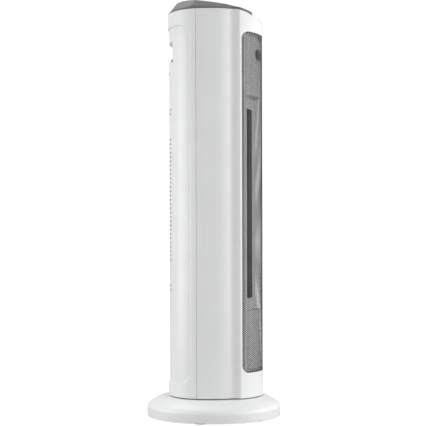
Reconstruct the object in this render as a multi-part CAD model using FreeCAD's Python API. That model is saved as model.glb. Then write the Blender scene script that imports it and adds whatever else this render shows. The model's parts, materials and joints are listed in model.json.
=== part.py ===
import FreeCAD, Part
import math
import os

# Free-standing ceramic tower heater. Millimetres, +Z up, the front grille faces -Y.
# The origin is on the floor, at the centre of the round foot and on the swivel axis.

V = FreeCAD.Vector
AXIS_Z = V(0, 0, 1)
AXIS_Y = V(0, 1, 0)

# Foot
BASE_R = 117.5
BASE_WALL_BOTTOM = 2.2
BASE_WALL_TOP = 17.0
BASE_TOP = 37.2
BASE_FLAT_R = 89.0
BASE_SKIN = 2.6
FOOT_COUNT = 6
FOOT_RING_R = 100.0
FOOT_R = 11.0
FOOT_HEIGHT = 3.4
PLATE_R = 114.6
PLATE_BOTTOM = 2.4
PLATE_TOP = 4.9
SCREW_RING_R = 80.0
BALLAST_R = 98.0
BALLAST_BORE_R = 34.0
BALLAST_TOP = PLATE_TOP + 6.0
GLAND_R = 6.0
GLAND_Z = 11.5

# Swivel
SLEEVE_R = 29.0
SLEEVE_BORE_R = 24.0
SLEEVE_FLANGE = 1.2
HUB_CLEARANCE = 0.06
RING_TOP = 38.7
TURNTABLE_BOTTOM = 38.75
TURNTABLE_TOP = 42.2
HUB_TOP = 55.9
COLLAR_BOTTOM = 56.0
COLLAR_TOP = 58.5
GEAR_MODULE = 1.0
GEAR_TEETH = 80
PINION_TEETH = 16
GEAR_WIDTH = 6.0
TOOTH_THINNING = 0.1
PRESSURE_ANGLE = math.radians(20)
PINION_Y = GEAR_MODULE * (GEAR_TEETH + PINION_TEETH) / 2

# Tower plan: two arcs front and rear, straight sides that narrow to the front, a flute by the front
TOWER_R = 88.0
REAR_CENTRE_Y = -8.9
SIDE_X = 83.6
SIDE_Y = 12.0
SIDE_SLOPE = 0.235
BEND_Y = -31.0
FLUTE = (59.5, -50.5)
FRONT_CORNER = (63.7, -60.72)
SHOULDER_FILLET = 60.0
BEND_FILLET = 50.0
FLUTE_FILLET = 12.0
FRONT_FILLET = 3.0
WALL = 2.5
SHELL_BOTTOM = 38.8
SHELL_RIM = 705.6
SEAM_Y = 12.0
SEAM_GAP = 0.4

# Rear recess, vents and handle
RECESS_Y = 23.2
RECESS_LOW = 62.8
RECESS_HIGH = 680.0
RECESS_DEPTH = 2.2
RECESS_CORNER = 25.0
RECESS_LIP_R = 2.0
SHELL_SCREWS = [(x, z) for z in (51.0, 604.0, 690.5) for x in (-14.0, 14.0)]
BOSS_R = 5.5
BOSS_DEPTH = 9.0
SCREW_SEAT = 0.8
VENT_PITCH = 7.5
VENT_WIDTH = 13.0
VENT_HEIGHT = 3.2
VENT_COLUMN_STEP = 18.0
VENT_CENTRE = 380.5
HANDLE_LOW = 621.0
HANDLE_HIGH = 655.5
HANDLE_HALF = 50.5
HANDLE_BACK_Y = 50.0
HANDLE_SLOPE_RISE = 10.0

# Front grille and outlet
GRILLE_LOW = 81.5
GRILLE_HIGH = 668.0
GRILLE_HALF = 60.5
GRILLE_CORNER = 12.4
GRILLE_OUTER_R = 87.0
GRILLE_INNER_R = 86.2
GRILLE_CLEARANCE = 0.3
FRAME_HALF = 59.4
FRAME_WIDTH = 4.0
PANEL_WIDE = 52.0
OUTLET_PANEL_LOW = 63.5
OUTLET_PANEL_HIGH = 690.0
SCREEN_R = 81.5
SCREEN_HALF = 56.0
SCREEN_MARGIN = 20.0
OUTLET_FACE_Y = -65.5
OUTLET_HALF = 24.0
OUTLET_LOW = 208.0
OUTLET_HIGH = 540.0

# Display behind the grille
DISPLAY_HALF = 17.0
DISPLAY_FRONT_Y = -83.5
DISPLAY_BACK_Y = -82.0
DISPLAY_POST_R = 1.8
DISPLAY_LOW = 624.6
DISPLAY_HIGH = 642.4

# Heater core behind the outlet
CORE_FRONT = -62.0
CORE_BACK = -42.0
CORE_HALF = 20.0
FRAME_WALL = 7.0
FRAME_END = 9.0
BAR_X = (-8.0, 8.0)
BAR_HALF = 2.5
FIN_PITCH = 5.0
FIN_SHIFT = 1.0

# Cap: the top surface is two tangent arcs in side view
CAP_R = 500.0
CAP_APEX = (65.0, 724.2)
NOSE_START_Y = -71.0
NOSE_R = 23.6
CAP_SKIN = 3.0
CAP_LIP = 4.2
CAP_JOINT = 0.7
BROW_Y = -78.0
BROW_THICK = 3.0
SKIRT_DEPTH = 9.0
BEVEL_START = 707.3
BEVEL_RUN = 14.5
BEVEL_RISE = 18.5

# Blower
FAN_Y = 22.0
WHEEL_R = 32.0
WHEEL_LOW = 176.0
WHEEL_HIGH = 576.0
DISC_COUNT = 6
BLADE_COUNT = 24
BLADE_R = 8.0
BLADE_THICK = 0.8
SHAFT_R = 3.0
BUSH_CLEARANCE = 0.03

# Control panel and buttons
PANEL_HALF = 43.0
PANEL_FRONT = -50.0
PANEL_REAR = -12.0
PANEL_CORNER = 14.0
PANEL_THICK = 1.2
BUTTON_X = {"swing_button": -32, "timer_button": -16, "power_button": 0, "heat_button": 16, "fan_button": 32}
BUTTON_Y = -31.0
BUTTON_R = 6.0
BUTTON_GAP = 0.35
BUTTON_PROUD = 0.8
SWITCH_TOP = 707.5
BOARD_TOP = 703.5


def box(x0, x1, y0, y1, z0, z1):
    return Part.makeBox(x1 - x0, y1 - y0, z1 - z0, V(x0, y0, z0))


def cyl(r, z0, z1, x=0.0, y=0.0):
    return Part.makeCylinder(r, z1 - z0, V(x, y, z0), AXIS_Z)


def cyl_y(r, y0, y1, x, z):
    return Part.makeCylinder(r, y1 - y0, V(x, y0, z), AXIS_Y)


def ring(outer, inner, z0, z1, x=0.0, y=0.0):
    return cyl(outer, z0, z1, x, y).cut(cyl(inner, z0 - 1, z1 + 1, x, y))


def fuse(shapes):
    return shapes[0].multiFuse(shapes[1:]).removeSplitter()


def polygon_face(points):
    return Part.Face(Part.makePolygon(points + [points[0]]))


def edges_along(shape, axis):
    """Straight edges of a block that run along the axis."""
    found = []
    for edge in shape.Edges:
        run = edge.Vertexes[-1].Point - edge.Vertexes[0].Point
        if run.Length > 0.5 and abs(run.dot(axis)) > 0.999 * run.Length:
            found.append(edge)
    return found


def mirrored_x(shape):
    return shape.mirror(V(0, 0, 0), V(1, 0, 0))


def save(name, shape):
    if len(shape.Solids) == 1:
        shape = shape.Solids[0]
    assert shape.isValid() and shape.Volume > 0, name
    shape.exportStep("parts/" + name + ".step")
    print("%-20s solids %3d volume %10.1f" % (name, len(shape.Solids), shape.Volume))


# ---- tower plan ----

def side_x(y):
    return SIDE_X + (y - SIDE_Y) * SIDE_SLOPE


def upright_edges(shape):
    found = []
    for edge in shape.Edges:
        a = edge.Vertexes[0].Point
        b = edge.Vertexes[-1].Point
        if math.hypot(a.x - b.x, a.y - b.y) < 1e-6 and abs(a.z - b.z) > 1:
            found.append((edge, a))
    return found


def shifted_line(a, b, inset):
    """The line a-b moved inset to its right."""
    dx, dy = b[0] - a[0], b[1] - a[1]
    length = math.hypot(dx, dy)
    step_x, step_y = inset * dy / length, -inset * dx / length
    return (a[0] + step_x, a[1] + step_y), (b[0] + step_x, b[1] + step_y)


def crossing(line_a, line_b):
    (ax, ay), (bx, by) = line_a
    (cx, cy), (dx, dy) = line_b
    det = (bx - ax) * (dy - cy) - (by - ay) * (dx - cx)
    t = ((cx - ax) * (dy - cy) - (cy - ay) * (dx - cx)) / det
    return ax + t * (bx - ax), ay + t * (by - ay)


def plan_face(inset):
    """The tower's outline at Z=0, moved inward by inset, with its corners rounded."""
    nose = (2 * FRONT_CORNER[0] - FLUTE[0], 2 * FRONT_CORNER[1] - FLUTE[1])
    bend = (side_x(BEND_Y), BEND_Y)
    side = shifted_line((side_x(200), 200), bend, inset)
    slant = shifted_line(bend, FLUTE, inset)
    front = shifted_line(FLUTE, nose, inset)
    bend = crossing(side, slant)
    flute = crossing(slant, front)
    half = [side[0], bend, flute, front[1], (front[1][0], -100)]
    points = [V(x, y, 0) for x, y in half] + [V(-x, y, 0) for x, y in reversed(half)]
    radius = TOWER_R - inset
    prism = polygon_face(points).extrude(V(0, 0, 10))
    prism = prism.common(cyl(radius, 0, 10)).common(cyl(radius, 0, 10, 0, REAR_CENTRE_Y))
    rounds = [(bend, BEND_FILLET - inset), (flute, FLUTE_FILLET + inset)]
    rounds += [(FRONT_CORNER, FRONT_FILLET - inset), ((side_x(18), 18), SHOULDER_FILLET - inset)]
    for (x, y), corner_r in rounds:
        if corner_r < 0.3:
            continue
        places = upright_edges(prism)
        nearest = min(math.hypot(abs(p.x) - x, p.y - y) for _, p in places)
        chosen = [e for e, p in places if math.hypot(abs(p.x) - x, p.y - y) < nearest + 0.01]
        assert len(chosen) == 2 and nearest < 8, (inset, x, y)
        prism = prism.makeFillet(corner_r, chosen)
    return [f for f in prism.Faces if abs(f.CenterOfMass.z) < 1e-6][0]


PLAN_FACES = {}


def tower_prism(inset, z0, z1):
    if inset not in PLAN_FACES:
        PLAN_FACES[inset] = plan_face(inset)
    face = PLAN_FACES[inset].copy()
    face.translate(V(0, 0, z0))
    return face.extrude(V(0, 0, z1 - z0))


# ---- cap surface ----

def under_top(drop):
    """Everything under the curved top, lowered by drop along its normal."""
    apex_y, apex_z = CAP_APEX
    centre_z = apex_z - CAP_R
    tilt = math.asin((apex_y - NOSE_START_Y) / CAP_R)
    nose_cy = NOSE_START_Y + NOSE_R * math.sin(tilt)
    nose_cz = centre_z + CAP_R * math.cos(tilt) - NOSE_R * math.cos(tilt)

    def on_arc(cy, cz, radius, angle):
        return V(-100, cy - (radius - drop) * math.sin(angle), cz + (radius - drop) * math.cos(angle))

    end = math.radians(90)
    rear = on_arc(apex_y, centre_z, CAP_R, math.radians(-3))
    join = on_arc(apex_y, centre_z, CAP_R, tilt)
    tip = on_arc(nose_cy, nose_cz, NOSE_R, end)
    arc_rear = Part.Arc(rear, on_arc(apex_y, centre_z, CAP_R, tilt / 2), join)
    arc_nose = Part.Arc(join, on_arc(nose_cy, nose_cz, NOSE_R, (tilt + end) / 2), tip)
    low_front = V(-100, tip.y, 30)
    low_rear = V(-100, rear.y, 30)
    edges = [arc_rear.toShape(), arc_nose.toShape(), Part.makeLine(tip, low_front)]
    edges += [Part.makeLine(low_front, low_rear), Part.makeLine(low_rear, rear)]
    return Part.Face(Part.Wire(edges)).extrude(V(200, 0, 0))


def top_z(y):
    """Height of the cap's top surface on the straight part of the curve."""
    apex_y, apex_z = CAP_APEX
    return apex_z - CAP_R + math.sqrt(CAP_R ** 2 - (y - apex_y) ** 2)


def under_rim(drop):
    """Everything under the white shells' top edge: level, dipping at the front, then up over the brow."""
    behind = under_top(CAP_LIP + drop).common(box(-100, 100, BROW_Y - drop, 100, 30, SHELL_RIM - drop))
    brow = under_top(0).common(box(-100, 100, -100, BROW_Y - drop, 30, 740))
    return behind.fuse(brow)


def bevelled(inset, drop):
    """Tower prism with the sloped band round its sides and rear."""
    start = BEVEL_START - drop
    body = tower_prism(inset, 640, start + BEVEL_RISE)
    reach = TOWER_R - inset
    cone = Part.makeCone(reach, reach - BEVEL_RUN, BEVEL_RISE, V(0, REAR_CENTRE_Y, start), AXIS_Z)
    lower = Part.makeCylinder(reach + 20, start - 630, V(0, REAR_CENTRE_Y, 630), AXIS_Z)
    front = box(-100, 100, -120, REAR_CENTRE_Y, 630, start + BEVEL_RISE)
    body = body.common(fuse([lower, cone, front]))
    length = math.hypot(1, SIDE_SLOPE)
    near_x = side_x(0) - inset * length
    profile = [V(near_x, 0, start), V(near_x + 40, 0, start), V(near_x + 40, 0, start + BEVEL_RISE)]
    profile.append(V(near_x - BEVEL_RUN, 0, start + BEVEL_RISE))
    along = V(SIDE_SLOPE * 100, 100, 0)
    wedge = polygon_face(profile).extrude(along * 2)
    wedge.translate(along * -1)
    return body.cut(wedge).cut(mirrored_x(wedge))


# ---- foot ----

def make_base_cover():
    outer_start = V(BASE_R, 0, BASE_WALL_BOTTOM)
    wall_top = V(BASE_R, 0, BASE_WALL_TOP)
    shoulder_mid = V(116.2, 0, 21.2)
    shoulder = V(113.4, 0, 24.8)
    dome_mid = V(102.4, 0, 32.2)
    dome_end = V(BASE_FLAT_R, 0, BASE_TOP)
    hole_r = SLEEVE_R + 0.3
    inner_top = BASE_TOP - BASE_SKIN
    inner_dome = V(BASE_FLAT_R - 3, 0, inner_top)
    inner_wall = BASE_R - BASE_SKIN
    edges = [Part.makeLine(outer_start, wall_top)]
    edges.append(Part.Arc(wall_top, shoulder_mid, shoulder).toShape())
    edges.append(Part.Arc(shoulder, dome_mid, dome_end).toShape())
    inside = [dome_end, V(hole_r, 0, BASE_TOP), V(hole_r, 0, inner_top), inner_dome]
    inside += [V(100.5, 0, 29.8), V(111.0, 0, 23.2), V(inner_wall, 0, 16), V(inner_wall, 0, BASE_WALL_BOTTOM)]
    inside.append(outer_start)
    edges += [Part.makeLine(a, b) for a, b in zip(inside, inside[1:])]
    cover = Part.Face(Part.Wire(edges)).revolve(V(0, 0, 0), AXIS_Z, 360)
    bosses = []
    for x, y in around(FOOT_COUNT, SCREW_RING_R, 30):
        bosses.append(ring(5.0, 1.5, PLATE_TOP, inner_top + 0.5, x, y))
    cover = fuse([cover] + bosses)
    return cover.cut(cyl_y(GLAND_R, 100, 120, 0, GLAND_Z))


def around(count, radius, first_deg):
    places = []
    for i in range(count):
        angle = math.radians(first_deg + 360 * i / count)
        places.append((radius * math.cos(angle), radius * math.sin(angle)))
    return places


def make_base_plate():
    plate = cyl(PLATE_R, PLATE_BOTTOM, PLATE_TOP)
    for x, y in around(FOOT_COUNT, FOOT_RING_R, 0):
        plate = plate.cut(cyl(FOOT_R, PLATE_BOTTOM - 1, FOOT_HEIGHT, x, y))
    for x, y in around(FOOT_COUNT, SCREW_RING_R, 30):
        plate = plate.cut(cyl(1.8, PLATE_BOTTOM - 1, PLATE_TOP + 1, x, y))
        plate = plate.cut(cyl(3.5, PLATE_BOTTOM - 1, PLATE_BOTTOM + 1.5, x, y))
    return plate


def make_ballast_plate():
    plate = ring(BALLAST_R, BALLAST_BORE_R, PLATE_TOP, BALLAST_TOP)
    for x, y in around(FOOT_COUNT, SCREW_RING_R, 30):
        plate = plate.cut(cyl(5.6, PLATE_TOP - 1, BALLAST_TOP + 1, x, y))
    return plate


def make_rubber_feet():
    feet = []
    for x, y in around(FOOT_COUNT, FOOT_RING_R, 0):
        foot = cyl(FOOT_R, 0, FOOT_HEIGHT, x, y)
        rim = [e for e in foot.Edges if abs(e.CenterOfMass.z) < 1e-6]
        feet.append(foot.makeFillet(0.8, rim))
    return Part.makeCompound(feet)


def make_base_screws():
    screws = []
    for x, y in around(FOOT_COUNT, SCREW_RING_R, 30):
        head = cyl(3.2, PLATE_BOTTOM + 0.1, PLATE_BOTTOM + 1.5, x, y)
        screws.append(fuse([head, cyl(1.5, PLATE_BOTTOM + 1.5, 18, x, y)]))
    return Part.makeCompound(screws)


def make_cord_gland():
    gland = cyl_y(GLAND_R, 100, BASE_R - 0.2, 0, GLAND_Z)
    return gland.cut(cyl_y(3.3, 106, 120, 0, GLAND_Z))


def make_tip_over_switch():
    body = box(44, 68, -9, 9, BALLAST_TOP, BALLAST_TOP + 17)
    return body.makeFillet(2, edges_along(body, AXIS_Z))


# ---- swivel ----

def make_pivot_sleeve():
    flange_low = BASE_TOP - BASE_SKIN - SLEEVE_FLANGE
    tube = ring(SLEEVE_R, SLEEVE_BORE_R, flange_low, COLLAR_BOTTOM)
    return fuse([tube, ring(46, SLEEVE_BORE_R, flange_low, BASE_TOP - BASE_SKIN)])


def make_turntable():
    disc = tower_prism(WALL + 0.4, TURNTABLE_BOTTOM, TURNTABLE_TOP)
    parts = [disc, cyl(35.5, TURNTABLE_BOTTOM, HUB_TOP)]
    for side in (-1, 1):
        parts.append(cyl(4, TURNTABLE_BOTTOM, 66, side * 36, 48))
    body = fuse(parts)
    return body.cut(cyl(SLEEVE_R + HUB_CLEARANCE, 30, 70))


def involute_tooth(module, teeth):
    """Outline points of one tooth centred on +X, from root to root."""
    pitch_r = module * teeth / 2
    base_r = pitch_r * math.cos(PRESSURE_ANGLE)
    tip_r = pitch_r + 0.95 * module
    root_r = pitch_r - 1.25 * module
    half = math.pi / (2 * teeth) - TOOTH_THINNING / (2 * pitch_r)
    spread = math.tan(PRESSURE_ANGLE) - PRESSURE_ANGLE
    flank = []
    start_r = max(base_r, root_r + 0.2 * module)
    if start_r > root_r:
        roll = math.acos(base_r / start_r)
        angle = half + spread - (math.tan(roll) - roll)
        flank.append((root_r, angle + 0.06 * half))
    steps = 4
    for i in range(steps + 1):
        r = start_r + (tip_r - start_r) * i / steps
        roll = math.acos(base_r / r)
        flank.append((r, half + spread - (math.tan(roll) - roll)))
    return [(r, -a) for r, a in flank] + [(r, a) for r, a in reversed(flank)]


def gear_solid(module, teeth, z0, width, phase_deg):
    tooth = involute_tooth(module, teeth)
    points = []
    for i in range(teeth):
        centre = math.radians(phase_deg) + 2 * math.pi * i / teeth
        for r, a in tooth:
            points.append(V(r * math.cos(centre + a), r * math.sin(centre + a), z0))
    return polygon_face(points).extrude(V(0, 0, width))


def make_swing_gear():
    gear = gear_solid(GEAR_MODULE, GEAR_TEETH, COLLAR_TOP, GEAR_WIDTH, 90)
    return gear.cut(cyl(26, COLLAR_TOP - 1, COLLAR_TOP + GEAR_WIDTH + 1))


def make_swing_pinion():
    phase = -90 + 180 / PINION_TEETH
    pinion = gear_solid(GEAR_MODULE, PINION_TEETH, COLLAR_TOP + 0.3, GEAR_WIDTH - 0.6, phase)
    pinion.translate(V(0, PINION_Y, 0))
    return pinion.cut(cyl(2.5, 50, 80, 0, PINION_Y))


def make_swing_motor():
    can = cyl(24.5, 68, 88, 0, 46)
    boss = cyl(8, 66.2, 68, 0, PINION_Y)
    return fuse([can, boss]).cut(cyl(2.55, 60, 74, 0, PINION_Y))


def make_motor_bridge():
    plate = box(-40, 40, 38, 57, 66, 68)
    return plate.cut(cyl(8.2, 60, 70, 0, PINION_Y))


# ---- shells ----

def recess_band():
    """Rounded field behind RECESS_Y, seen from the side, right across the tower."""
    band = box(-100, 100, RECESS_Y, 140, RECESS_LOW, RECESS_HIGH)
    corners = []
    for edge in band.Edges:
        mid = edge.CenterOfMass
        if abs(mid.y - RECESS_Y) < 1e-6 and abs(mid.x) < 1e-6:
            corners.append(edge)
    return band.makeFillet(RECESS_CORNER, corners)


def vent_slot(x, z):
    straight = VENT_WIDTH - VENT_HEIGHT
    r = VENT_HEIGHT / 2
    bar = box(x - straight / 2, x + straight / 2, 20, 90, z - r, z + r)
    ends = [cyl_y(r, 20, 90, x + s * straight / 2, z) for s in (-1, 1)]
    return fuse([bar] + ends)


def vent_rows(column):
    """Slot heights of one column: a long run and a pair beyond each end."""
    runs = {0: 17, 1: 16, 2: 14}[abs(column)]
    rows = list(range(-runs, runs + 1))
    gap = runs + 6
    return rows + [-gap, -gap - 1, gap, gap + 1]


def make_vents():
    slots = []
    for column in (-2, -1, 0, 1, 2):
        for row in vent_rows(column):
            slots.append(vent_slot(column * VENT_COLUMN_STEP, VENT_CENTRE + row * VENT_PITCH))
    return Part.makeCompound(slots)


def rear_y(x, inset):
    return REAR_CENTRE_Y + math.sqrt((TOWER_R - inset) ** 2 - x ** 2)


def shared_edges(shape, first, second):
    """Edges of shape whose middles lie on the surfaces of both other bodies."""
    surfaces = [Part.makeCompound(body.Faces) for body in (first, second)]
    found = []
    for edge in shape.Edges:
        middle = Part.Vertex(edge.valueAt((edge.FirstParameter + edge.LastParameter) / 2))
        if all(middle.distToShape(surface)[0] < 1e-3 for surface in surfaces):
            found.append(edge)
    return found


def recessed_tower():
    """The full tower with the shallow rear field sunk into it and the field's lip rounded over."""
    full = tower_prism(0, SHELL_BOTTOM, 720)
    band = recess_band()
    sunk = full.cut(band.cut(tower_prism(RECESS_DEPTH, 50, 700)))
    return sunk.makeFillet(RECESS_LIP_R, shared_edges(sunk, band, full))


def make_rear_shell():
    keep = box(-100, 100, SEAM_Y + SEAM_GAP / 2, 100, SHELL_BOTTOM, 740)
    inner_band = box(-100, 100, RECESS_Y - WALL, 140, RECESS_LOW - WALL, RECESS_HIGH + WALL)
    hollow = tower_prism(WALL, 30, 730).cut(inner_band)
    hollow = fuse([hollow, tower_prism(WALL + RECESS_DEPTH, 30, 730)])
    shell = recessed_tower().cut(hollow).common(keep)
    lip = tower_prism(WALL + 0.05, SHELL_BOTTOM + 4, 700).cut(tower_prism(WALL + 1.5, 30, 720))
    lip = lip.common(box(-100, 100, SEAM_Y - 4, SEAM_Y + 3, 30, 700))
    bosses = []
    for x, z in SHELL_SCREWS:
        bosses.append(cyl_y(BOSS_R, rear_y(x, WALL) - BOSS_DEPTH, rear_y(x, WALL) - 0.5, x, z))
    grown = tower_prism(WALL, SHELL_BOTTOM, 720).cut(tower_prism(WALL + 1.45, 30, 730))
    grown = grown.common(box(-100, 100, SEAM_Y + SEAM_GAP / 2, SEAM_Y + 3, 44.6, 700))
    shell = fuse([shell, lip, grown] + bosses).common(under_rim(0))
    for x, z in SHELL_SCREWS:
        shell = shell.cut(cyl_y(3.6, rear_y(x, WALL) - SCREW_SEAT, 120, x, z))
        shell = shell.cut(cyl_y(1.6, 30, 120, x, z))
    shell = shell.cut(box(-HANDLE_HALF, HANDLE_HALF, 40, 120, HANDLE_LOW, HANDLE_HIGH))
    return shell.cut(make_vents())


def make_shell_screws():
    screws = []
    for x, z in SHELL_SCREWS:
        seat = rear_y(x, WALL) - SCREW_SEAT
        head = cyl_y(3.2, seat, seat + 1.6, x, z)
        screws.append(fuse([head, cyl_y(1.5, seat - 12, seat, x, z)]))
    return Part.makeCompound(screws)


def handle_cavity(half, low, high, back):
    rise = HANDLE_SLOPE_RISE
    profile = [V(-half, back, low + rise), V(-half, 90, low), V(-half, 90, high), V(-half, back, high)]
    return polygon_face(profile).extrude(V(2 * half, 0, 0))


def make_handle_cup():
    wall = 2.0
    outer = handle_cavity(HANDLE_HALF + wall, HANDLE_LOW - wall, HANDLE_HIGH + wall, HANDLE_BACK_Y - wall)
    cup = outer.common(tower_prism(WALL + RECESS_DEPTH + 0.02, 600, 680))
    return cup.cut(handle_cavity(HANDLE_HALF, HANDLE_LOW, HANDLE_HIGH, HANDLE_BACK_Y))


def window_prism(clearance, y0=-110, y1=0):
    half = GRILLE_HALF - clearance
    low = GRILLE_LOW + clearance
    high = GRILLE_HIGH - clearance
    block = box(-half, half, y0, y1, low, high)
    return block.makeFillet(GRILLE_CORNER - clearance, edges_along(block, AXIS_Y))


def front_band(outer, inner, z0, z1):
    """Part of a tube round the swivel axis that lies behind the curved front."""
    return ring(outer, inner, z0, z1).common(box(-100, 100, -100, -40, z0, z1))


def make_front_shell():
    keep = box(-100, 100, -100, SEAM_Y - SEAM_GAP / 2, SHELL_BOTTOM, 740)
    shell = tower_prism(0, SHELL_BOTTOM, 720).cut(tower_prism(WALL, 30, 730)).common(keep)
    cutter = window_prism(0).common(front_band(TOWER_R + 5, TOWER_R - WALL - 0.5, 60, 700))
    brow = tower_prism(0, 684, 720).common(box(-100, 100, -100, BROW_Y, 684, 720)).cut(under_top(BROW_THICK))
    return fuse([shell.cut(cutter), brow]).common(under_rim(0))


def make_front_grille():
    band = front_band(GRILLE_OUTER_R, GRILLE_INNER_R, GRILLE_LOW - 1, GRILLE_HIGH + 1)
    return band.common(window_prism(GRILLE_CLEARANCE))


def make_grille_frame():
    back = front_band(TOWER_R - WALL - 0.1, TOWER_R - WALL - 1.6, GRILLE_LOW - 5, GRILLE_HIGH + 5)
    back = back.common(box(-FRAME_HALF, FRAME_HALF, -100, -40, 0, 720))
    step = front_band(GRILLE_INNER_R - 0.1, TOWER_R - WALL - 0.2, GRILLE_LOW - 1, GRILLE_HIGH + 1)
    step = step.common(window_prism(1.0)).common(box(-FRAME_HALF, FRAME_HALF, -100, -40, 0, 720))
    return fuse([back, step]).cut(window_prism(FRAME_WIDTH))


def make_display_window():
    plate = box(-DISPLAY_HALF, DISPLAY_HALF, DISPLAY_FRONT_Y, DISPLAY_BACK_Y, DISPLAY_LOW, DISPLAY_HIGH)
    return plate.makeFillet((DISPLAY_HIGH - DISPLAY_LOW) / 2 - 0.1, edges_along(plate, AXIS_Y))


def curved_screen(low, high, shelf):
    """Blank wall close behind the grille, with a shelf back to the flat panel at one end."""
    wall = front_band(SCREEN_R, SCREEN_R - 2, low, high)
    wall = wall.common(box(-SCREEN_HALF, SCREEN_HALF, -100, -40, low, high))
    disc = cyl(SCREEN_R - 1, shelf, shelf + 2)
    floor = disc.common(box(-60, 60, -100, OUTLET_FACE_Y + 1, shelf, shelf + 2))
    return fuse([wall, floor])


def make_outlet_panel():
    plate_z = (OUTLET_PANEL_LOW, OUTLET_PANEL_HIGH)
    panel = box(-PANEL_WIDE, PANEL_WIDE, OUTLET_FACE_Y, OUTLET_FACE_Y + 2, *plate_z)
    for x0 in (-PANEL_WIDE, PANEL_WIDE - 2):
        side = box(x0, x0 + 2, OUTLET_FACE_Y, OUTLET_FACE_Y + 12, *plate_z)
        panel = panel.fuse(side)
    throat = box(-OUTLET_HALF - 2, OUTLET_HALF + 2, OUTLET_FACE_Y, -62.2, OUTLET_LOW - 2, OUTLET_HIGH + 2)
    display_z = (DISPLAY_LOW + DISPLAY_HIGH) / 2
    posts = [cyl_y(DISPLAY_POST_R, DISPLAY_BACK_Y, -SCREEN_R + 2, x, display_z) for x in (-8, 8)]
    upper_low = OUTLET_HIGH + SCREEN_MARGIN
    lower_high = OUTLET_LOW - SCREEN_MARGIN
    upper = curved_screen(upper_low, OUTLET_PANEL_HIGH, upper_low)
    lower = curved_screen(OUTLET_PANEL_LOW, lower_high, lower_high - 2)
    panel = fuse([panel, throat, upper, lower] + posts)
    return panel.cut(box(-OUTLET_HALF, OUTLET_HALF, -80, -60, OUTLET_LOW, OUTLET_HIGH))


# ---- heater ----

def make_heater_frame():
    half = CORE_HALF + FRAME_WALL
    frame = box(-half, half, CORE_FRONT, CORE_BACK, OUTLET_LOW - FRAME_END, OUTLET_HIGH + FRAME_END)
    return frame.cut(box(-CORE_HALF, CORE_HALF, CORE_FRONT - 1, CORE_BACK + 1, OUTLET_LOW, OUTLET_HIGH))


def make_ptc_bars():
    bars = []
    for x in BAR_X:
        bars.append(box(x - BAR_HALF, x + BAR_HALF, CORE_FRONT + 3, CORE_BACK - 3, OUTLET_LOW, OUTLET_HIGH))
    return Part.makeCompound(bars)


def fin_strip(x0, x1):
    """Folded sheet that zigzags between x0 and x1 up the heater."""
    count = int((OUTLET_HIGH - OUTLET_LOW - 4) / FIN_PITCH)
    low = OUTLET_LOW + 2
    path = []
    for i in range(count + 1):
        x = x0 if i % 2 == 0 else x1 - FIN_SHIFT
        path.append(V(x, CORE_FRONT + 4, low + i * FIN_PITCH))
    back = [p + V(FIN_SHIFT, 0, 0) for p in reversed(path)]
    return polygon_face(path + back).extrude(V(0, CORE_BACK - CORE_FRONT - 8, 0))


def make_ptc_fins():
    gap = 0.05
    inner = BAR_X[1] - BAR_HALF - gap
    outer = BAR_X[1] + BAR_HALF + gap
    strips = [fin_strip(-19.9, -outer), fin_strip(-inner, inner), fin_strip(outer, 19.9)]
    return Part.makeCompound(strips)


def make_heater_terminals():
    tabs = []
    for x in BAR_X:
        tabs.append(box(x - 3.15, x + 3.15, -53, -52.2, OUTLET_HIGH + 9, OUTLET_HIGH + 22))
    return Part.makeCompound(tabs)


def make_thermal_cutout():
    disc = cyl_y(8, CORE_BACK, CORE_BACK + 6, -16, OUTLET_HIGH + 1)
    return fuse([disc, box(-24, -8, CORE_BACK + 6, CORE_BACK + 7, OUTLET_HIGH - 2, OUTLET_HIGH + 4)])


def make_thermal_fuse():
    lead = Part.makeCylinder(0.6, 18, V(2, CORE_BACK + 2.2, OUTLET_HIGH + 4), V(1, 0, 0))
    body = Part.makeCylinder(2.0, 10, V(6, CORE_BACK + 2.2, OUTLET_HIGH + 4), V(1, 0, 0))
    return fuse([lead, body])


# ---- blower ----

def duct_plate_shape(z0, z1):
    return fuse([cyl(44, z0, z1, 0, FAN_Y), box(-27, 27, CORE_BACK + 0.5, FAN_Y, z0, z1)])


def make_blower_housing():
    low = WHEEL_LOW - 3
    high = WHEEL_HIGH + 3
    scroll = ring(42, 40, low, high, 0, FAN_Y)
    scroll = scroll.common(box(-60, -20, -20, FAN_Y + 26, low, high))
    left = polygon_face([V(-38.6, 11, low), V(-36.6, 11, low), V(-24.5, CORE_BACK + 0.5, low),
                         V(-26.5, CORE_BACK + 0.5, low)]).extrude(V(0, 0, high - low))
    right = polygon_face([V(36.5, 8, low), V(38.5, 8, low), V(26.5, CORE_BACK + 0.5, low),
                          V(24.5, CORE_BACK + 0.5, low)]).extrude(V(0, 0, high - low))
    keep_left = scroll.cut(box(-60, 0, -60, 10.5, low, high))
    tongue = cyl(2.0, low, high, 36.0, 8)
    return Part.makeCompound([fuse([keep_left, left]), fuse([right, tongue])])


def make_duct_bottom_plate():
    plate = duct_plate_shape(WHEEL_LOW - 6, WHEEL_LOW - 3)
    return plate.cut(cyl(8, 100, 200, 0, FAN_Y))


def make_duct_top_plate():
    plate = duct_plate_shape(WHEEL_HIGH + 3, WHEEL_HIGH + 6)
    return plate.cut(cyl(8, 560, 600, 0, FAN_Y))


def bearing(z0, z1):
    return ring(8, SHAFT_R + BUSH_CLEARANCE, z0, z1, 0, FAN_Y)


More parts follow.
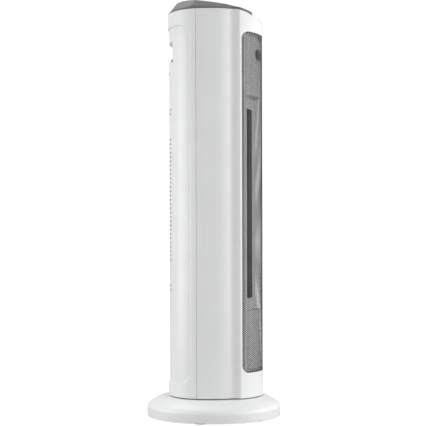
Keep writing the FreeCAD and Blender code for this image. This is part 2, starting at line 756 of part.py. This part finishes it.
def make_fan_wheel():
    shapes = []
    for i in range(DISC_COUNT):
        z = WHEEL_LOW + i * (WHEEL_HIGH - WHEEL_LOW - 2) / (DISC_COUNT - 1)
        shapes.append(cyl(WHEEL_R, z, z + 2, 0, 0))
    for i in range(BLADE_COUNT):
        blade = ring(BLADE_R, BLADE_R - BLADE_THICK, WHEEL_LOW + 1, WHEEL_HIGH - 1, 28.0, -6.5)
        blade = blade.common(box(24.5, WHEEL_R - 0.3, -2, 2.5, WHEEL_LOW, WHEEL_HIGH))
        blade.rotate(V(0, 0, 0), AXIS_Z, 360 / BLADE_COUNT * i)
        shapes.append(blade)
    wheel = shapes[0].multiFuse(shapes[1:])
    wheel = wheel.cut(cyl(SHAFT_R, 100, 700))
    wheel.translate(V(0, FAN_Y, 0))
    return wheel


def make_fan_shaft():
    return cyl(SHAFT_R, 114, WHEEL_HIGH + 10, 0, FAN_Y)


def make_fan_rotor():
    return ring(16.0, SHAFT_R, 122, 150, 0, FAN_Y)


def make_motor_stator():
    return ring(28.3, 16.4, 124, 148, 0, FAN_Y)


def make_motor_can():
    can = cyl(30, 110, 158, 0, FAN_Y).cut(cyl(28.4, 111.6, 156.4, 0, FAN_Y))
    return can.cut(cyl(SHAFT_R + BUSH_CLEARANCE, 112, 170, 0, FAN_Y))


def make_motor_bracket():
    plate = ring(38, 8, 158, 160.5, 0, FAN_Y)
    legs = [cyl(4, 158, WHEEL_LOW - 6, x * 0.9, FAN_Y + y * 0.9) for x, y in around(3, 38, 90)]
    return fuse([plate] + legs)


# ---- electronics ----

def make_power_board():
    return box(-36, 36, -12, -10.4, 600, 684)


def make_power_relays():
    return Part.makeCompound([box(x, x + 15, -27, -12, 640, 659) for x in (-26, 8)])


def make_control_board():
    return box(-44, 44, -56, -12, BOARD_TOP - 1.6, BOARD_TOP)


def make_tact_switches():
    switches = []
    for x in BUTTON_X.values():
        body = box(x - 3, x + 3, BUTTON_Y - 3, BUTTON_Y + 3, BOARD_TOP, SWITCH_TOP - 0.8)
        switches.append(fuse([body, cyl(1.75, SWITCH_TOP - 0.8, SWITCH_TOP, x, BUTTON_Y)]))
    return Part.makeCompound(switches)


# ---- cap and controls ----

def panel_plan(shrink, z0, z1):
    block = box(-PANEL_HALF + shrink, PANEL_HALF - shrink, PANEL_FRONT + shrink, PANEL_REAR - shrink, z0, z1)
    return block.makeFillet(PANEL_CORNER - shrink, edges_along(block, AXIS_Z))


def button_holes(radius):
    return Part.makeCompound([cyl(radius, 700, 740, x, BUTTON_Y) for x in BUTTON_X.values()])


def make_top_cap():
    skin = bevelled(0.6, 0).common(under_top(0)).cut(under_rim(-CAP_JOINT))
    low = SHELL_RIM - SKIRT_DEPTH + 1
    behind_brow = box(-100, 100, BROW_Y + CAP_JOINT, 100, low, SHELL_RIM + CAP_JOINT + 0.1)
    plug = tower_prism(WALL + 0.3, low, 720).common(behind_brow).common(under_top(CAP_LIP - CAP_JOINT - 0.1))
    plug = plug.cut(under_top(CAP_LIP + SKIRT_DEPTH))
    hollow = bevelled(WALL + 2.5, 0).common(under_top(CAP_SKIN))
    body = fuse([skin, plug]).cut(hollow)
    posts = []
    for x in (-41, 41):
        for y in (-51, -17):
            posts.append(cyl(2.5, BOARD_TOP, top_z(y) - 2, x, y))
    body = fuse([body] + posts)
    inlay = panel_plan(0, 690, 760).cut(under_top(PANEL_THICK))
    return body.cut(inlay).cut(button_holes(BUTTON_R + BUTTON_GAP))


def make_control_panel():
    panel = panel_plan(0.1, 690, 760).common(under_top(0)).cut(under_top(PANEL_THICK))
    return panel.cut(button_holes(BUTTON_R + BUTTON_GAP))


def make_button(x):
    flange_top = top_z(BUTTON_Y - 8) - CAP_SKIN - 0.3
    head = cyl(BUTTON_R, flange_top - 1, 740, x, BUTTON_Y).common(under_top(-BUTTON_PROUD))
    rim = [e for e in head.Edges if e.CenterOfMass.z > top_z(BUTTON_Y) - 2]
    head = head.makeFillet(0.6, rim)
    flange = cyl(BUTTON_R + 1.2, flange_top - 1.3, flange_top, x, BUTTON_Y)
    stem = cyl(2.5, SWITCH_TOP + 0.9, flange_top - 1, x, BUTTON_Y)
    return fuse([head, flange, stem])


def main():
    os.makedirs("parts", exist_ok=True)
    save("base_cover", make_base_cover())
    save("base_plate", make_base_plate())
    save("ballast_plate", make_ballast_plate())
    save("rubber_feet", make_rubber_feet())
    save("base_screws", make_base_screws())
    save("cord_gland", make_cord_gland())
    save("tip_over_switch", make_tip_over_switch())
    save("pivot_sleeve", make_pivot_sleeve())
    save("slide_ring", ring(60, 37, BASE_TOP, RING_TOP))
    save("retaining_collar", ring(38, SLEEVE_BORE_R, COLLAR_BOTTOM, COLLAR_TOP))
    save("swing_gear", make_swing_gear())
    save("turntable", make_turntable())
    save("swing_motor", make_swing_motor())
    save("motor_bridge", make_motor_bridge())
    save("swing_pinion", make_swing_pinion())
    save("pinion_shaft", cyl(2.5, COLLAR_TOP + 0.3, 72, 0, PINION_Y))
    save("front_shell", make_front_shell())
    save("rear_shell", make_rear_shell())
    save("shell_screws", make_shell_screws())
    save("handle_cup", make_handle_cup())
    save("front_grille", make_front_grille())
    save("grille_frame", make_grille_frame())
    save("outlet_panel", make_outlet_panel())
    save("display_window", make_display_window())
    save("heater_frame", make_heater_frame())
    save("ptc_bars", make_ptc_bars())
    save("ptc_fins", make_ptc_fins())
    save("heater_terminals", make_heater_terminals())
    save("thermal_cutout", make_thermal_cutout())
    save("thermal_fuse", make_thermal_fuse())
    save("blower_housing", make_blower_housing())
    save("duct_bottom_plate", make_duct_bottom_plate())
    save("duct_top_plate", make_duct_top_plate())
    save("lower_bearing", bearing(WHEEL_LOW - 8, WHEEL_LOW - 1))
    save("upper_bearing", bearing(WHEEL_HIGH + 1, WHEEL_HIGH + 8))
    save("fan_wheel", make_fan_wheel())
    save("fan_shaft", make_fan_shaft())
    save("fan_rotor", make_fan_rotor())
    save("motor_stator", make_motor_stator())
    save("motor_can", make_motor_can())
    save("motor_bracket", make_motor_bracket())
    save("power_board", make_power_board())
    save("power_relays", make_power_relays())
    save("control_board", make_control_board())
    save("tact_switches", make_tact_switches())
    save("top_cap", make_top_cap())
    save("control_panel", make_control_panel())
    for name, x in BUTTON_X.items():
        save(name, make_button(x))


main()
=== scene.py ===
import json
import math

import bmesh
import bpy
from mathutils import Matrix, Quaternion, Vector
from mathutils.bvhtree import BVHTree


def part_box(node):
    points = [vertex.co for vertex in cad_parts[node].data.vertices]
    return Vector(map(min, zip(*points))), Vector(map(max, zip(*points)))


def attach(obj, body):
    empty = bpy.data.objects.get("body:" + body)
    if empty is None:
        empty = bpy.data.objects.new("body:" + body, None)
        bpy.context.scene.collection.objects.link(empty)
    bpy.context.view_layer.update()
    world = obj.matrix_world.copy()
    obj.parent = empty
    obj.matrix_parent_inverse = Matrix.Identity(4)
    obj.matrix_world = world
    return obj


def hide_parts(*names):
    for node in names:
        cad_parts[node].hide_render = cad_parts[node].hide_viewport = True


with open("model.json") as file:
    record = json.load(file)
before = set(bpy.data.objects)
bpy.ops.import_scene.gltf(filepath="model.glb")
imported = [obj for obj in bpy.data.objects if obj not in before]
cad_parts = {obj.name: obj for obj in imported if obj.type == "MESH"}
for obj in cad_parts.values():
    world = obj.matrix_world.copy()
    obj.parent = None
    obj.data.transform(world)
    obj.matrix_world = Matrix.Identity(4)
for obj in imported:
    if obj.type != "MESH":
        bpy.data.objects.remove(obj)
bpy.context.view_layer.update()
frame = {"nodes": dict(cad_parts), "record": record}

# Ceramic tower heater. Metres, +Z up, the mesh front faces -Y.
MM = 0.001


# ---- material tools ----

DRIFT_SCALE = 14.0
SKIN_SCALE = 420.0
GLOSS_SCALE = 60.0
GRAIN_SCALE = 300.0
SKIN_DEPTH = 0.4 * MM
GRAIN_DEPTH = 0.2 * MM
GRAIN_STRENGTH = 0.08
COAT_ROUGHNESS = 0.12
BEVEL_SAMPLES = 4
# how far the roughness drifts below and above the value that a material names
MOULDED_SPREAD = (-0.04, 0.05)
METAL_SPREAD = (-0.08, 0.12)
# sockets of the Mix node that hold its two colours and their blend
MIX_FIRST = 6
MIX_SECOND = 7
MIX_BLEND = 2


def new_material(name):
    mat = bpy.data.materials.new(name)
    mat.use_nodes = True
    tree = mat.node_tree
    shader = tree.nodes["Principled BSDF"]
    return mat, tree, shader


def noise(tree, scale, detail=3.0, rough=0.5, stretch=(1, 1, 1)):
    coords = tree.nodes.new("ShaderNodeTexCoord")
    mapping = tree.nodes.new("ShaderNodeMapping")
    mapping.inputs["Scale"].default_value = stretch
    texture = tree.nodes.new("ShaderNodeTexNoise")
    texture.inputs["Scale"].default_value = scale
    texture.inputs["Detail"].default_value = detail
    texture.inputs["Roughness"].default_value = rough
    tree.links.new(coords.outputs["Object"], mapping.inputs["Vector"])
    tree.links.new(mapping.outputs["Vector"], texture.inputs["Vector"])
    return texture.outputs["Fac"]


def ramp(tree, factor, low, high, low_at=0.3, high_at=0.7):
    node = tree.nodes.new("ShaderNodeMapRange")
    node.inputs["From Min"].default_value = low_at
    node.inputs["From Max"].default_value = high_at
    node.inputs["To Min"].default_value = low
    node.inputs["To Max"].default_value = high
    tree.links.new(factor, node.inputs["Value"])
    return node.outputs["Result"]


def blend_colour(tree, factor, first, second):
    node = tree.nodes.new("ShaderNodeMix")
    node.data_type = "RGBA"
    node.inputs[MIX_FIRST].default_value = (*first, 1)
    node.inputs[MIX_SECOND].default_value = (*second, 1)
    tree.links.new(factor, node.inputs["Factor"])
    return node.outputs[MIX_BLEND]


def bump(tree, shader, height, strength, distance, edge_radius=0.0):
    node = tree.nodes.new("ShaderNodeBump")
    node.inputs["Strength"].default_value = strength
    node.inputs["Distance"].default_value = distance
    tree.links.new(height, node.inputs["Height"])
    if edge_radius > 0:
        bevel = tree.nodes.new("ShaderNodeBevel")
        bevel.samples = BEVEL_SAMPLES
        bevel.inputs["Radius"].default_value = edge_radius
        tree.links.new(bevel.outputs["Normal"], node.inputs["Normal"])
    tree.links.new(node.outputs["Normal"], shader.inputs["Normal"])


def moulded(name, colour, shade, roughness, peel, edge_radius, coat):
    """Moulded plastic: faint colour drift, a fine orange-peel skin and uneven gloss."""
    mat, tree, shader = new_material(name)
    drift = noise(tree, DRIFT_SCALE, 4.0, 0.6)
    colours = blend_colour(tree, ramp(tree, drift, 0, 1), shade, colour)
    tree.links.new(colours, shader.inputs["Base Color"])
    skin = noise(tree, SKIN_SCALE, 2.0)
    gloss = noise(tree, GLOSS_SCALE, 5.0)
    smooth, rough = (roughness + change for change in MOULDED_SPREAD)
    tree.links.new(ramp(tree, gloss, smooth, rough), shader.inputs["Roughness"])
    bump(tree, shader, skin, peel, SKIN_DEPTH, edge_radius)
    if coat > 0:
        shader.inputs["Coat Weight"].default_value = coat
        shader.inputs["Coat Roughness"].default_value = COAT_ROUGHNESS
    return mat


def metal(name, colour, shade, roughness, stretch):
    """Bare or plated metal with a drawn grain."""
    mat, tree, shader = new_material(name)
    lines = noise(tree, GRAIN_SCALE, 4.0, 0.6, stretch)
    colours = blend_colour(tree, ramp(tree, lines, 0, 1), shade, colour)
    tree.links.new(colours, shader.inputs["Base Color"])
    smooth, rough = (roughness + change for change in METAL_SPREAD)
    tree.links.new(ramp(tree, lines, smooth, rough), shader.inputs["Roughness"])
    shader.inputs["Metallic"].default_value = 1.0
    bump(tree, shader, lines, GRAIN_STRENGTH, GRAIN_DEPTH)
    return mat


def math_node(tree, operation, first, second=None):
    """Math node on a socket and either a number or another socket."""
    node = tree.nodes.new("ShaderNodeMath")
    node.operation = operation
    tree.links.new(first, node.inputs[0])
    if isinstance(second, float):
        node.inputs[1].default_value = second
    elif second is not None:
        tree.links.new(second, node.inputs[1])
    return node.outputs[0]


def within(tree, value, middle, reach):
    """1 where value is less than reach away from middle, else 0."""
    gap = math_node(tree, "ABSOLUTE", math_node(tree, "SUBTRACT", value, middle))
    return math_node(tree, "LESS_THAN", gap, reach)


# how far the outlet slot's walls lie inside the outline of heater_frame, at its sides and ends
SLOT_SIDE_INSET = 2.9 * MM
SLOT_END_INSET = 8.9 * MM
# near-black painted shade laid over the outlet slot's walls, standing in for the shade inside the slot
SLOT_SHADE_COLOUR = (0.035, 0.033, 0.032, 1)


def paint_slot_shade(mat):
    """Painted shade on the walls of the outlet slot, which opens over the middle of heater_frame."""
    low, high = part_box("heater_frame")
    half = high[0] - SLOT_SIDE_INSET
    middle = (low[2] + high[2]) / 2
    tall = (high[2] - low[2]) / 2 - SLOT_END_INSET
    tree = mat.node_tree
    shader = tree.nodes["Principled BSDF"]
    plain = shader.inputs["Base Color"].links[0].from_socket
    coords = tree.nodes.new("ShaderNodeTexCoord")
    split = tree.nodes.new("ShaderNodeSeparateXYZ")
    tree.links.new(coords.outputs["Object"], split.inputs[0])
    # the painted shade goes where the point lies inside both the slot's width and its height
    across = within(tree, split.outputs["X"], 0.0, half)
    upright = within(tree, split.outputs["Z"], middle, tall)
    mix = tree.nodes.new("ShaderNodeMix")
    mix.data_type = "RGBA"
    tree.links.new(math_node(tree, "MULTIPLY", across, upright), mix.inputs["Factor"])
    tree.links.new(plain, mix.inputs[MIX_FIRST])
    mix.inputs[MIX_SECOND].default_value = SLOT_SHADE_COLOUR
    tree.links.new(mix.outputs[MIX_BLEND], shader.inputs["Base Color"])


# ---- materials, one per record slot ----

# slot: colour, shade, roughness, skin strength, edge rounding, coat
MOULDED = {
    "shell_white": ((0.83, 0.835, 0.84), (0.80, 0.805, 0.81), 0.34, 0.03, 0.9 * MM, 0.15),
    "cap_grey": ((0.20, 0.202, 0.205), (0.18, 0.182, 0.185), 0.52, 0.05, 7.0 * MM, 0.0),
    "panel_dark": ((0.030, 0.030, 0.033), (0.022, 0.022, 0.024), 0.14, 0.01, 0.5 * MM, 0.5),
    "button_grey": ((0.55, 0.555, 0.56), (0.51, 0.515, 0.52), 0.42, 0.12, 0.0, 0.0),
    "grille_grey": ((0.045, 0.045, 0.047), (0.036, 0.036, 0.038), 0.45, 0.10, 0.0, 0.0),
    "inner_black": ((0.030, 0.030, 0.032), (0.022, 0.022, 0.024), 0.55, 0.15, 0.0, 0.0),
    "outlet_grey": ((0.74, 0.74, 0.74), (0.70, 0.70, 0.70), 0.5, 0.08, 0.0, 0.0),
    "heater_plastic": ((0.035, 0.033, 0.032), (0.025, 0.024, 0.023), 0.6, 0.2, 0.0, 0.0),
    "ceramic_bar": ((0.16, 0.15, 0.14), (0.11, 0.105, 0.10), 0.7, 0.3, 0.0, 0.0),
    "rubber_black": ((0.50, 0.50, 0.50), (0.46, 0.46, 0.46), 0.75, 0.3, 0.0, 0.0),
    "acetal_white": ((0.74, 0.74, 0.72), (0.69, 0.69, 0.67), 0.4, 0.06, 0.0, 0.0),
    "board_green": ((0.03, 0.16, 0.07), (0.02, 0.11, 0.05), 0.35, 0.1, 0.0, 0.0),
    "component_black": ((0.05, 0.05, 0.055), (0.035, 0.035, 0.04), 0.45, 0.15, 0.0, 0.0),
}
# slot: colour, shade, roughness, stretch of the grain
METALS = {
    "fin_aluminium": ((0.22, 0.22, 0.23), (0.14, 0.14, 0.15), 0.5, (1, 1, 1)),
    "brass_tab": ((0.75, 0.58, 0.30), (0.62, 0.47, 0.24), 0.35, (1, 1, 1)),
    "steel": ((0.56, 0.57, 0.58), (0.48, 0.49, 0.50), 0.38, (1, 1, 0.1)),
    "screw_steel": ((0.42, 0.42, 0.43), (0.33, 0.33, 0.34), 0.4, (1, 1, 1)),
    "bush_bronze": ((0.60, 0.42, 0.24), (0.48, 0.33, 0.19), 0.5, (1, 1, 1)),
}


def make_materials():
    mats = {name: moulded(name, *look) for name, look in MOULDED.items()}
    mats.update({name: metal(name, *look) for name, look in METALS.items()})
    return mats


MATS = make_materials()
# paint shade into the outlet slot of outlet_panel
paint_slot_shade(MATS["outlet_grey"])


def dress_cad_nodes():
    for row in frame["record"]["subparts"]:
        node = frame["nodes"][row["node"]]
        node.data.materials.clear()
        node.data.materials.append(MATS[row["material_slot"]])


dress_cad_nodes()


# ---- thin sheets ----

def apply_modifiers(piece):
    graph = bpy.context.evaluated_depsgraph_get()
    finished = bpy.data.meshes.new_from_object(piece.evaluated_get(graph))
    piece.modifiers.clear()
    piece.data = finished


def sheet_piece(name, mesh, thickness, outward, slot):
    """Closed sheet from an open surface, thickened away from the outward side."""
    bmesh.ops.recalc_face_normals(mesh, faces=mesh.faces)
    data = bpy.data.meshes.new(name)
    mesh.to_mesh(data)
    mesh.free()
    piece = bpy.data.objects.new(name, data)
    bpy.context.collection.objects.link(piece)
    if sum(p.normal.dot(outward) for p in data.polygons) < 0:
        data.flip_normals()
    thicken = piece.modifiers.new("thicken", "SOLIDIFY")
    thicken.thickness = thickness
    thicken.offset = -1.0
    apply_modifiers(piece)
    piece.data.materials.append(MATS[slot])
    return piece


# ---- perforated front mesh ----

MESH_PITCH = 3.58 * MM
MESH_HOLE_R = 1.60 * MM
MESH_THICK = 0.4 * MM
COLUMN_STEP = MESH_PITCH * math.sqrt(3) / 2
# a cell is kept if it reaches this far inside the outline, and drilled if it lies this far inside
KEEP_DEPTH = 0.1 * MM
DRILL_DEPTH = 0.3 * MM
# cell corners that come this close together on the outline count as one
SAME_PLACE = 0.0001 * MM
GRILLE_CORNER = 12.1 * MM
# one corner of the hole, in degrees, for each of the eight that cell_corners gives
HOLE_ANGLES = range(0, 360, 45)


def grille_outline():
    """Radius of the sheet, half arc length and height range, read from the solid it stands for."""
    low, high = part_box("front_grille")
    radius = -low[1]
    half_arc = radius * math.asin(high[0] / radius)
    return radius, half_arc, low[2], high[2]


def outline_distance(s, z, half, low, high):
    """Distance outside the sheet's rounded outline, negative inside, and the nearest point on it."""
    mid = (low + high) / 2
    tall = (high - low) / 2
    flat_half, flat_tall = half - GRILLE_CORNER, tall - GRILLE_CORNER
    px, pz = abs(s), abs(z - mid)
    qx, qz = px - flat_half, pz - flat_tall
    if qx > 0 and qz > 0:
        reach = math.hypot(qx, qz)
        near_x = flat_half + qx / reach * GRILLE_CORNER
        near_z = flat_tall + qz / reach * GRILLE_CORNER
        distance = reach - GRILLE_CORNER
    elif px - half > pz - tall:
        near_x, near_z, distance = half, pz, px - half
    else:
        near_x, near_z, distance = px, tall, pz - tall
    return distance, math.copysign(near_x, s), mid + math.copysign(near_z, z - mid)


def cell_corners(s, z):
    """Six corners of a hexagonal cell and the middles of its top and bottom."""
    third = MESH_PITCH / math.sqrt(3)
    half = MESH_PITCH / 2
    return [(s + third, z), (s + third / 2, z + half), (s, z + half), (s - third / 2, z + half),
            (s - third, z), (s - third / 2, z - half), (s, z - half), (s + third / 2, z - half)]


def build_perforated(name, row_low, row_high, column_count, outline):
    """Curved sheet of drilled hexagonal cells, trimmed to the rounded outline."""
    radius, half_arc, low, high = outline
    mid = (low + high) / 2
    mesh = bmesh.new()
    shared = {}

    def vertex(s, z, share=True):
        """Corner on the curved sheet, drawn in to the outline; cells share theirs, holes don't."""
        key = (round(s * 1e6), round(z * 1e6))
        if share and key in shared:
            return shared[key]
        distance, near_s, near_z = outline_distance(s, z, half_arc, low, high)
        if distance > 0:
            s, z = near_s, near_z
        angle = s / radius
        made = mesh.verts.new((radius * math.sin(angle), -radius * math.cos(angle), z))
        if share:
            shared[key] = made
        return made

    for column in range(-column_count, column_count + 1):
        s = column * COLUMN_STEP
        for row in range(row_low, row_high):
            z = mid + (row + (0.5 if column % 2 else 0.0)) * MESH_PITCH
            corners = cell_corners(s, z)
            gaps = [outline_distance(a, b, half_arc, low, high)[0] for a, b in corners]
            if min(gaps) > -KEEP_DEPTH:
                continue
            ring = [vertex(a, b) for a, b in corners]
            if max(gaps) > -DRILL_DEPTH:
                face = [v for i, v in enumerate(ring) if (v.co - ring[i - 1].co).length > SAME_PLACE]
                if len(face) > 2:
                    mesh.faces.new(face)
                continue
            hole = []
            for degrees in HOLE_ANGLES:
                angle = math.radians(degrees)
                hole_s = s + MESH_HOLE_R * math.cos(angle)
                hole_z = z + MESH_HOLE_R * math.sin(angle)
                hole.append(vertex(hole_s, hole_z, False))
            for i in range(len(hole)):
                mesh.faces.new((ring[i - 1], ring[i], hole[i], hole[i - 1]))
    return sheet_piece(name, mesh, MESH_THICK, Vector((0, -1, 0)), "grille_grey")


def make_front_mesh():
    outline = grille_outline()
    _, half_arc, low, high = outline
    rows = int((high - low) / 2 / MESH_PITCH) + 2
    columns = int(half_arc / COLUMN_STEP) + 2
    for name, start, stop in (("front_mesh_lower", -rows, 0), ("front_mesh_upper", 0, rows)):
        piece = build_perforated(name, start, stop, columns, outline)
        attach(piece, "tower")
        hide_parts("front_grille")


make_front_mesh()


# ---- printed symbols on the buttons and panel ----

ICON_LINE = 0.45 * MM
ICON_THICK = 0.10 * MM
ICON_PROUD = 0.06 * MM
# a height above the whole heater, from which spots on it are looked up
ABOVE_ALL = 1.0
DOT_R = 0.7 * MM
DOT_Y = -42.5 * MM
DOT_SIDES = 16
BUTTONS = ("power_button", "heat_button", "fan_button", "swing_button", "timer_button")


def arc_points(radius, start, stop, count=20, centre=(0, 0)):
    steps = [math.radians(start + (stop - start) * i / count) for i in range(count + 1)]
    return [(centre[0] + radius * math.cos(a), centre[1] + radius * math.sin(a)) for a in steps]


def icon_lines(button):
    """Strokes of each generic symbol, in millimetres from the button's centre."""
    if button == "power_button":
        return [arc_points(2.4, 125, 415), [(0, 0.8), (0, 3.1)]]
    if button == "heat_button":
        lines = []
        for x in (-1.7, 0, 1.7):
            lines.append([(x + 0.4 * math.sin(i * 0.7), -2.3 + i * 0.46) for i in range(11)])
        return lines
    if button == "fan_button":
        blades = []
        for turn in (90, 210, 330):
            hub = (1.5 * math.cos(math.radians(turn)), 1.5 * math.sin(math.radians(turn)))
            blades.append([(0, 0)] + arc_points(1.1, turn - 150, turn + 150, 14, hub) + [(0, 0)])
        return blades
    if button == "swing_button":
        ends = [(-2.5, 0.2), (2.5, 0.2)]
        heads = [[(x - 0.7, y - 0.9), (x, y), (x + 0.7, y - 0.9)] for x, y in ends]
        return [arc_points(2.5, 180, 360)] + heads + [[(0, -1.2), (0, 2.4)]]
    return [arc_points(2.5, 0, 360, 24), [(0, 1.6), (0, 0), (1.2, 0)]]


def surface_of(node_name):
    """Search tree over a node's faces, where they stand at rest."""
    node = frame["nodes"][node_name]
    corners = [node.matrix_world @ v.co for v in node.data.vertices]
    return BVHTree.FromPolygons(corners, [list(p.vertices) for p in node.data.polygons])


def drop_onto(surface, x, y):
    """Spot a hair above the surface, found by looking straight down."""
    hit = surface.ray_cast(Vector((x, y, ABOVE_ALL)), Vector((0, 0, -1)))[0]
    return hit + Vector((0, 0, ICON_PROUD))


def stroke(mesh, surface, points):
    """Ribbon along the plan points, laid on the surface."""
    sides = []
    for i, (x, y) in enumerate(points):
        before = points[max(i - 1, 0)]
        after = points[min(i + 1, len(points) - 1)]
        dx, dy = after[0] - before[0], after[1] - before[1]
        length = math.hypot(dx, dy) or 1.0
        nx, ny = -dy / length * ICON_LINE / 2, dx / length * ICON_LINE / 2
        left = mesh.verts.new(drop_onto(surface, x + nx, y + ny))
        right = mesh.verts.new(drop_onto(surface, x - nx, y - ny))
        sides.append((left, right))
    for first, second in zip(sides, sides[1:]):
        mesh.faces.new((first[1], second[1], second[0], first[0]))


def printed_piece(name, mesh, body, slot):
    """Thin print lying on a surface and riding with one body."""
    piece = sheet_piece(name, mesh, ICON_THICK, Vector((0, 0, 1)), slot)
    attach(piece, body)


def print_buttons():
    for button in BUTTONS:
        low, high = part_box(button)
        mid_x, mid_y = (low[0] + high[0]) / 2, (low[1] + high[1]) / 2
        surface = surface_of(button)
        mesh = bmesh.new()
        for points in icon_lines(button):
            stroke(mesh, surface, [(mid_x + x * MM, mid_y + y * MM) for x, y in points])
        printed_piece(button + "_symbol", mesh, button + "_body", "component_black")


def print_dots():
    """A row of small indicator dots in front of the buttons."""
    surface = surface_of("control_panel")
    mesh = bmesh.new()
    for button in BUTTONS:
        low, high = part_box(button)
        mid_x = (low[0] + high[0]) / 2
        rim = []
        for i in range(DOT_SIDES):
            angle = 2 * math.pi * i / DOT_SIDES
            spot = drop_onto(surface, mid_x + DOT_R * math.cos(angle), DOT_Y + DOT_R * math.sin(angle))
            rim.append(mesh.verts.new(spot))
        mesh.faces.new(rim)
    printed_piece("panel_dots", mesh, "tower", "button_grey")


print_buttons()
print_dots()


# ---- floor, light and camera ----

VIEW_TURN = math.radians(12.4)
CAMERA_DISTANCE = 2.1
CAMERA_HEIGHT = 0.310
CAMERA_LENS = 100.2
CAMERA_ROLL = -0.0026
# lens shift, as parts of the picture's width
SHIFT_X = -0.0007
SHIFT_Y = 0.06338
FLOOR_RADIUS = 30.0
FLOOR_SIDES = 96
FLOOR_DARKEST = (0.49, 0.49, 0.49)
FLOOR_LIGHTEST = (0.51, 0.51, 0.51)
FLOOR_GLOW = 0.88
WORLD_LIGHT = 0.59
WORLD_SEEN = 1.05
LIGHT_AIM = Vector((0, 0, 0.38))
# name, degrees round from the camera, height above the aim, distance, panel width and height, watts
LIGHTS = [
    ("box_right", 85, 0.0, 1.6, 1.2, 1.1, 12.4),
    ("box_right_near", 50, 0.2, 2.0, 0.8, 1.6, 10.0),
    ("box_left", -85, 0.0, 1.6, 1.2, 1.1, 12.0),
    ("box_left_near", -48, -0.05, 2.0, 0.8, 0.9, 2.0),
    ("overhead", 30, 2.2, 0.2, 1.8, 1.8, 5.5),
    ("overhead_left", -120, 1.7, 1.0, 1.4, 0.9, 8.6),
    ("box_behind_right", 125, 0.2, 1.6, 1.2, 1.6, 4.0),
]
RIGHT = Vector((math.sin(VIEW_TURN), -math.cos(VIEW_TURN), 0))
TOWARD = Vector((-math.cos(VIEW_TURN), -math.sin(VIEW_TURN), 0))


def make_floor():
    mesh = bmesh.new()
    bmesh.ops.create_circle(mesh, cap_ends=True, segments=FLOOR_SIDES, radius=FLOOR_RADIUS)
    data = bpy.data.meshes.new("floor")
    mesh.to_mesh(data)
    mesh.free()
    floor = bpy.data.objects.new("floor", data)
    bpy.context.collection.objects.link(floor)
    mat, tree, shader = new_material("floor_white")
    tone = noise(tree, 3.0)
    colours = blend_colour(tree, tone, FLOOR_DARKEST, FLOOR_LIGHTEST)
    tree.links.new(colours, shader.inputs["Base Color"])
    shader.inputs["Roughness"].default_value = 0.9
    shader.inputs["Specular IOR Level"].default_value = 0.1
    shader.inputs["Emission Color"].default_value = (1, 1, 1, 1)
    path = tree.nodes.new("ShaderNodeLightPath")
    glow = ramp(tree, path.outputs["Is Camera Ray"], 0.0, FLOOR_GLOW, 0.0, 1.0)
    tree.links.new(glow, shader.inputs["Emission Strength"])
    data.materials.append(mat)


def make_world():
    world = bpy.data.worlds.new("studio")
    world.use_nodes = True
    bpy.context.scene.world = world
    tree = world.node_tree
    base = tree.nodes["Background"]
    base.inputs["Color"].default_value = (1, 1, 1, 1)
    base.inputs["Strength"].default_value = WORLD_LIGHT
    seen = tree.nodes.new("ShaderNodeBackground")
    seen.inputs["Color"].default_value = (1, 1, 1, 1)
    seen.inputs["Strength"].default_value = WORLD_SEEN
    path = tree.nodes.new("ShaderNodeLightPath")
    mix = tree.nodes.new("ShaderNodeMixShader")
    tree.links.new(path.outputs["Is Camera Ray"], mix.inputs["Fac"])
    tree.links.new(base.outputs["Background"], mix.inputs[1])
    tree.links.new(seen.outputs["Background"], mix.inputs[2])
    tree.links.new(mix.outputs["Shader"], tree.nodes["World Output"].inputs["Surface"])


def area_light(name, place, target, width, height, watts):
    lamp = bpy.data.lights.new(name, "AREA")
    lamp.shape = "RECTANGLE"
    lamp.size = width
    lamp.size_y = height
    lamp.energy = watts
    light = bpy.data.objects.new(name, lamp)
    light.location = place
    light.rotation_euler = (target - place).to_track_quat("-Z", "Y").to_euler()
    bpy.context.collection.objects.link(light)


def make_lights():
    for name, azimuth, height, distance, width, tall, watts in LIGHTS:
        turn = math.radians(azimuth)
        outward = TOWARD * math.cos(turn) + RIGHT * math.sin(turn)
        place = LIGHT_AIM + outward * distance + Vector((0, 0, height))
        area_light(name, place, LIGHT_AIM, width, tall, watts)


def make_camera():
    """Level camera a little off the heater's side, with a long lens and a trace of roll."""
    data = bpy.data.cameras.new("camera")
    data.sensor_width = 36.0
    data.lens = CAMERA_LENS
    data.shift_x = SHIFT_X
    data.shift_y = SHIFT_Y
    camera = bpy.data.objects.new("camera", data)
    camera.location = TOWARD * CAMERA_DISTANCE + Vector((0, 0, CAMERA_HEIGHT))
    level = (-TOWARD).to_track_quat("-Z", "Y")
    camera.rotation_euler = (level @ Quaternion((0, 0, 1), CAMERA_ROLL)).to_euler()
    bpy.context.collection.objects.link(camera)
    bpy.context.scene.camera = camera


make_floor()
make_world()
make_lights()
make_camera()
bpy.context.scene.view_settings.view_transform = "Standard"
